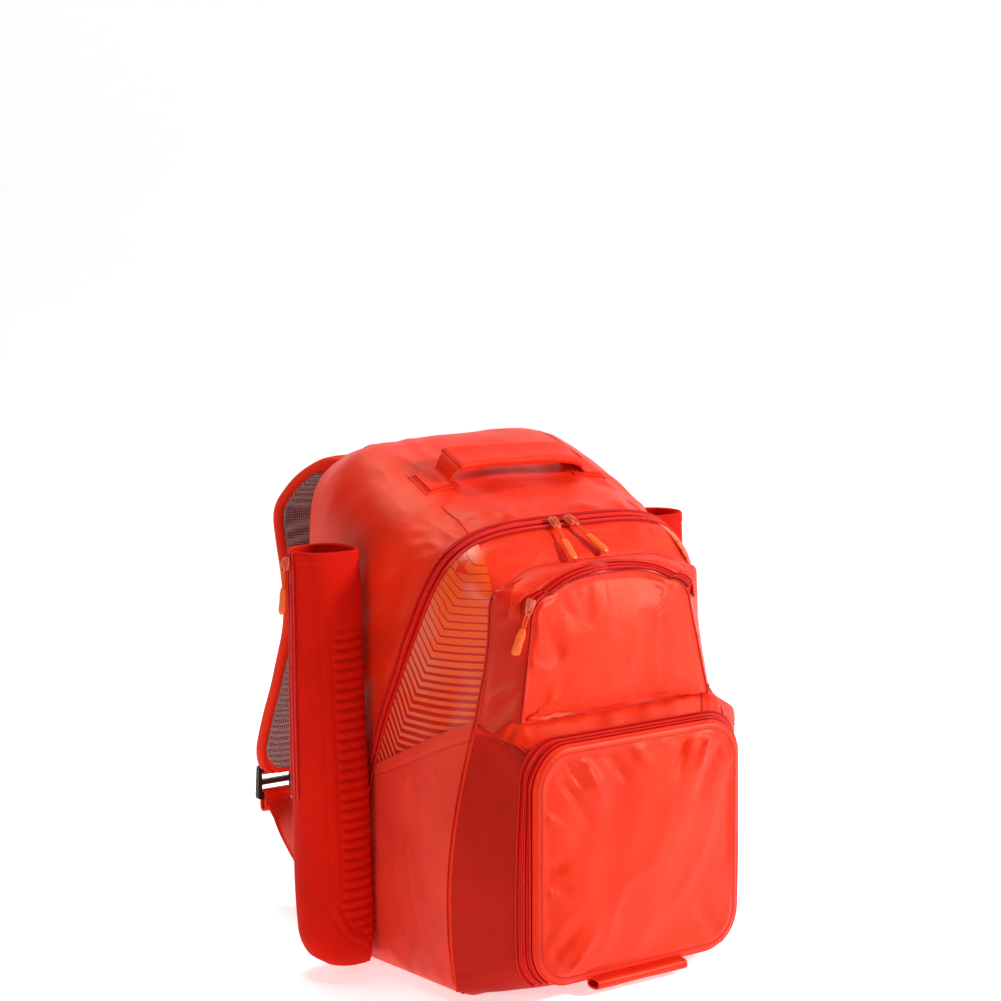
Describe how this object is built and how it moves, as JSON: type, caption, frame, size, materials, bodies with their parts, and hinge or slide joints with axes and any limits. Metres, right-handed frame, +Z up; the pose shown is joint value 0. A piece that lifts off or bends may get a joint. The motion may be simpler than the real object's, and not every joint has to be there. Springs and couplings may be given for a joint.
{
  "type": "baseball bat backpack",
  "caption": "Upright sports backpack with an open bat sleeve on each side, zipped front pockets, carry handle and padded shoulder straps.",
  "frame": {"origin": "on the floor, under the middle of the whole bag's box", "axes": "+X to the wearer's right when the bag is worn, -Y out of the front face, +Z up"},
  "size_m": [0.477, 0.425, 0.483],
  "materials": {
    "body_red": "smooth coated polyester with a soft sheen",
    "zip_red": "reverse coil zip tape",
    "sleeve_red": "matt moulded neoprene",
    "strap_red": "padded woven polyester with bound edges",
    "mesh_grey": "open airmesh",
    "webbing_red": "ribbed polyester webbing",
    "buckle_black": "moulded acetal",
    "pull_orange": "soft moulded pull on a cord"
  },
  "bodies": {
    "root": {"rear_shell": "body_red", "front_shell": "body_red", "upper_pocket": "body_red", "lower_gusset": "body_red", "lower_lid": "body_red", "side_pocket_left": "body_red", "side_pocket_right": "body_red", "base_loop": "body_red", "strap_wing_left": "body_red", "strap_wing_right": "body_red", "main_zip": "zip_red", "upper_zip": "zip_red", "lower_zip": "zip_red", "sleeve_zip_left": "zip_red", "sleeve_zip_right": "zip_red", "bat_sleeve_left": "sleeve_red", "bat_sleeve_right": "sleeve_red", "shoulder_strap_left": "strap_red", "shoulder_strap_right": "strap_red", "strap_mesh_left": "mesh_grey", "strap_mesh_right": "mesh_grey", "carry_handle": "webbing_red", "hang_loop": "webbing_red", "strap_loop_left": "webbing_red", "strap_loop_right": "webbing_red", "wing_loop_left": "webbing_red", "wing_loop_right": "webbing_red", "strap_buckle_left": "buckle_black", "strap_buckle_right": "buckle_black", "main_pull_left": "pull_orange", "main_pull_right": "pull_orange", "upper_pull": "pull_orange", "sleeve_pull_left": "pull_orange", "sleeve_pull_right": "pull_orange"}
  },
  "joints": []
}
